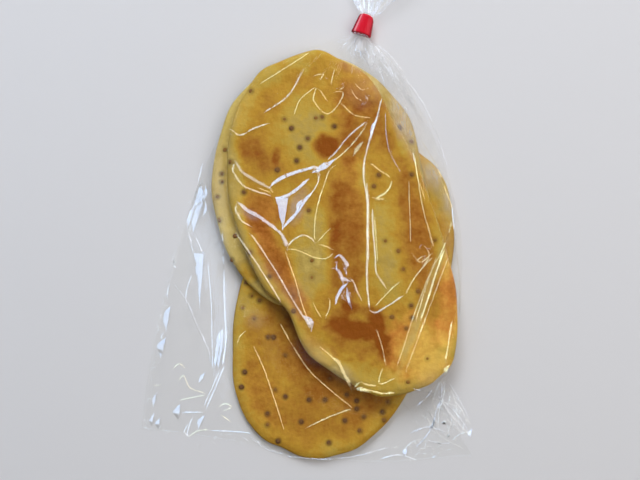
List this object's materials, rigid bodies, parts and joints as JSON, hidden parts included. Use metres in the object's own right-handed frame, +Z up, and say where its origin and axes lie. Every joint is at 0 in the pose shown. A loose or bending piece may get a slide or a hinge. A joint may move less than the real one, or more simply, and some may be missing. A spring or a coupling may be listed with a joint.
{
  "type": "bag of fried dough sheets",
  "caption": "Clear film bag of large thin oval sheets of fried dough, lying flat, its neck gathered and sealed with plain red tape.",
  "frame": {"origin": "on the surface the bag lies on, under the middle of its length and width", "axes": "+X across the bag, +Y from the bottom seam towards the gathered neck, +Z up through the thickness"},
  "size_m": [0.1752, 0.2733, 0.0182],
  "materials": {
    "film": "clear glossy plastic film with fine creases",
    "tape": "glossy red tape"
  },
  "bodies": {
    "root": {"bag": "film", "neck_tape": "tape"}
  },
  "joints": []
}
